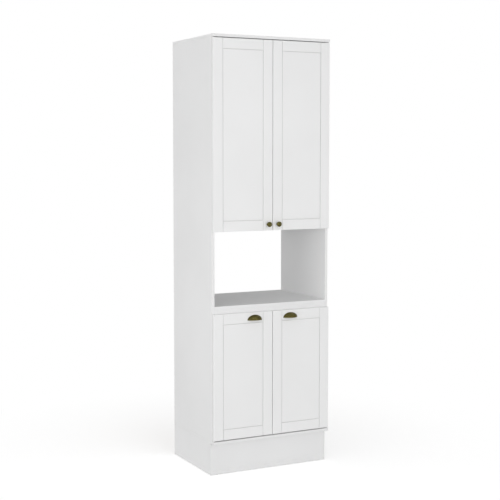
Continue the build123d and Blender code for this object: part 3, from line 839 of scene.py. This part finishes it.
print("Points closer than", melts_within / mm, "mm melt into one")


# %% Helpers for both kinds of handle
def arc(middle, radius, first_degrees, last_degrees, steps):
    """Points of an arc, as pairs in millimetres. 0 degrees points outward, 90 along the reach."""
    points = []
    for step in range(steps + 1):
        turn = math.radians(first_degrees + (last_degrees - first_degrees) * step / steps)
        points.append((middle[0] + radius * math.cos(turn), middle[1] + radius * math.sin(turn)))
    return points


def full_turn(steps):
    """The angles of points spread evenly over a circle."""
    return [2 * math.pi * step / steps for step in range(steps)]


def put_in_place(piece, node):
    """Puts a fine brass piece in the place of a packed one, on the same body."""
    piece.data.materials.append(aged_brass)
    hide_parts(node)
    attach(piece, body_of[node])
    return piece


print("Half of a quarter circle ends at", [round(part, 2) for part in arc((0, 0), 1, 0, 90, 2)[1]])

# %% The turned profile
knob_radius = knob_width / 2
foot_radius = 8.0
foot_flat = 4.0
foot_edge = 0.5
foot_thickness = 1.6
neck_radius = 4.5
neck_fillet = 2.5
neck_reaches = (6.0, 8.0, 10.0)
trumpet_radius = 7.2
rim_radius = 2.9
rim_middle = (knob_radius - rim_radius, 20.3)
quirk = [(10.2, 23.15), (9.7, 22.9), (9.25, 22.65), (8.95, 22.7), (8.7, 22.95)]
dome_edge = 8.6
dome_low = 23.3
dome_rise = knob_reach - dome_low
dome_arc = (dome_edge ** 2 + dome_rise ** 2) / (2 * dome_rise)
dome_half_angle = math.degrees(math.asin(dome_edge / dome_arc))


def knob_profile():
    """Radius and reach of the knob, from the middle of its foot to the top of its dome."""
    edge_middle = foot_radius - foot_edge
    profile = [(0.0, 0.0), (foot_flat, 0.0)]
    profile += arc((edge_middle, foot_edge), foot_edge, -90, 0, 4)
    profile += arc((edge_middle, foot_thickness - foot_edge), foot_edge, 0, 90, 4)
    profile += arc((neck_radius + neck_fillet, foot_thickness + neck_fillet), neck_fillet, 270, 180, 8)
    profile += [(neck_radius, reach) for reach in neck_reaches]
    profile += arc((neck_radius + trumpet_radius, neck_reaches[-1]), trumpet_radius, 180, 108, 12)
    profile += arc(rim_middle, rim_radius, -75, 90, 22)
    profile += quirk
    profile += arc((0.0, knob_reach - dome_arc), dome_arc, 90 - dome_half_angle, 88.0, 14)
    return profile + [(0.0, knob_reach)]


print("The profile has", len(knob_profile()), "points")
print("The dome belongs to a ball of", round(2 * dome_arc, 1), "mm")

# %% The two knobs
knob_segments = 72


def turned_knob(node):
    """A fine knob in the place of a plain one."""
    low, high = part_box(node)
    middle_of_foot = ((low.x + high.x) / 2, high.y, (low.z + high.z) / 2)
    rings = [
        [(radius * math.cos(turn), reach, radius * math.sin(turn)) for turn in full_turn(knob_segments)]
        for radius, reach in knob_profile()
    ]
    return put_in_place(mesh_piece(node + "_turned", middle_of_foot, rings), node)


knobs = [turned_knob(f"upper_{side}_knob") for side in ("left", "right")]
print("Knobs:", [(piece.name, len(piece.data.vertices)) for piece in knobs])

# %% [markdown]
# ## Cup pulls
#
# A cup pull is a thin casting, a quarter of an egg that is open below, so that four fingers fit
# behind it. Half a sphere cut by a boolean would leave ragged edges and no lip, so the shell is
# built as a loft instead: at each step along its length stands one closed section with the outer
# wall, a rounded bead along the bottom edge, the inner wall and the back that lies on the door.
# A thin flange follows the door, and the wall between flange and bead lies a little lower,
# which is the step where the dark patina collects. Two round bosses inside take the screws, and
# each of them ends inside the wall, so that nothing of it comes out in front. Every section is part
# of a ring whose middle lies a little behind the door's face, at the depth that pull_sink says.

# %% Sizes of the cup pull
pull_half_width = pull_width / 2
pull_sink = 5.0
pull_radius = pull_reach + pull_sink
pull_wall = 2.0
bead_radius = 1.35
flange_thickness = 1.5
relief = 0.7
step_from_flange = 0.5
step_from_bead = 1.0
lip_inside = 2.2
pull_columns = 96
wall_rows = 26
bead_rows = 10
boss_up = 9.0
boss_segments = 32
boss_profile = ((0.0, 0.0), (3.6, 0.0), (4.0, 0.05), (4.0, 0.5), (4.0, 1.0), (0.0, 1.0))
boss_spacing = 64.0
boss_short_of_face = 0.6 * pull_wall
outer_half_length = pull_half_width / math.sqrt(1 - (pull_sink / pull_radius) ** 2)
print("The egg that the pull is cut from is", round(2 * outer_half_length, 1), "mm long")


# %% One section of the shell
def ease(value, low, high):
    """0 below low, 1 above high and smooth between."""
    share = min(max((value - low) / (high - low), 0.0), 1.0)
    return share * share * (3 - 2 * share)


def wall_point(radius, upward):
    """Reach and height of the point on a ring of the shell whose angle is given."""
    return radius * math.cos(upward) - pull_sink, radius * math.sin(upward)


def pull_section(share):
    """Points (along, reach, height) of the closed section at a share of the pull's length."""
    outer_start = math.asin(pull_sink / pull_radius)
    inner_radius = pull_radius - pull_wall
    inner_start = math.asin(pull_sink / inner_radius)
    outer_turn = outer_start + (math.pi - 2 * outer_start) * share
    inner_turn = inner_start + (math.pi - 2 * inner_start) * share
    outer_along = -outer_half_length * math.cos(outer_turn)
    inner_along = -(outer_half_length - pull_wall) * math.cos(inner_turn)
    outer_ring = max(pull_radius * math.sin(outer_turn), pull_sink)
    inner_ring = max(inner_radius * math.sin(inner_turn), pull_sink)
    outer_top = math.acos(pull_sink / outer_ring)
    inner_top = math.acos(pull_sink / inner_ring)
    bead = min(bead_radius, outer_ring * math.sin(outer_top) / 2)
    section = []
    outer_low = math.asin(bead / outer_ring)
    for row in range(wall_rows + 1):
        upward = outer_top + (outer_low - outer_top) * row / wall_rows
        reach, height = wall_point(outer_ring, upward)
        sunk = relief * ease(reach, flange_thickness, flange_thickness + step_from_flange)
        sunk *= ease(height, 2 * bead, 2 * bead + step_from_bead)
        reach, height = wall_point(outer_ring - sunk, upward)
        section.append((outer_along, max(reach, 0.0), height))
    edge_reach = section[-1][1]
    for row in range(1, bead_rows):
        turn = -math.pi * row / bead_rows
        along = outer_along + (inner_along - outer_along) * row / bead_rows
        reach = edge_reach - bead + bead * math.cos(turn)
        section.append((along, max(reach, 0.0), bead + bead * math.sin(turn)))
    inner_low = math.asin(min(lip_inside * bead / inner_ring, math.sin(inner_top)))
    for row in range(wall_rows + 1):
        upward = inner_low + (inner_top - inner_low) * row / wall_rows
        reach, height = wall_point(inner_ring, upward)
        section.append((inner_along, max(reach, 0.0), height))
    return section


middle_section = pull_section(0.5)
print("The middle section has", len(middle_section), "points")


# %% The bosses behind the shell
def wall_reach(along, height):
    """How far out of the door a boss ends at a place along the pull, well inside the wall there."""
    ring = pull_radius * math.sqrt(1 - (along / outer_half_length) ** 2)
    return math.sqrt(ring ** 2 - height ** 2) - pull_sink - boss_short_of_face


def boss_rings(along):
    """Rings (along, reach, height) of the round boss inside the pull that takes a screw."""
    rings = []
    for radius, share in boss_profile:
        ring = []
        for turn in full_turn(boss_segments):
            beside = along + radius * math.cos(turn)
            height = boss_up + radius * math.sin(turn)
            ring.append((beside, share * wall_reach(beside, height), height))
        rings.append(ring)
    return rings


print("The middle of a boss stands out by", round(wall_reach(boss_spacing / 2, boss_up), 1), "mm")


# %% The two cup pulls
def cast_pull(node):
    """A fine cup pull in the place of a plain one."""
    low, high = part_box(node)
    middle_of_edge = ((low.x + high.x) / 2, high.y, low.z)
    turns = [math.pi * column / pull_columns for column in range(1, pull_columns)]
    sections = [pull_section(0.5 - 0.5 * math.cos(turn)) for turn in turns]
    tips = [[(way * pull_half_width, 0.0, 0.0)] * len(middle_section) for way in (-1, 1)]
    shell = [tips[0]] + sections + [tips[1]]
    bosses = [boss_rings(way * boss_spacing / 2) for way in (-1, 1)]
    return put_in_place(mesh_piece(node + "_cast", middle_of_edge, shell, *bosses), node)


pulls = [cast_pull(f"lower_{side}_cup_pull") for side in ("left", "right")]
print("Cup pulls:", [(piece.name, len(piece.data.vertices)) for piece in pulls])

# %% [markdown]
# ## Sizes and the last checks
#
# Dressing the cabinet must not change its size. The box round the packed model was measured right
# after loading, so the box round what is in the scene now can be set beside it.

# %% Sizes and the last checks
dressed_low, dressed_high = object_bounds()
grown_low = [round(packed - dressed, 5) for packed, dressed in zip(cad_low, dressed_low)]
grown_high = [round(dressed - packed, 5) for packed, dressed in zip(cad_high, dressed_high)]
print("Grown at the low end by", grown_low, "and at the high end by", grown_high)
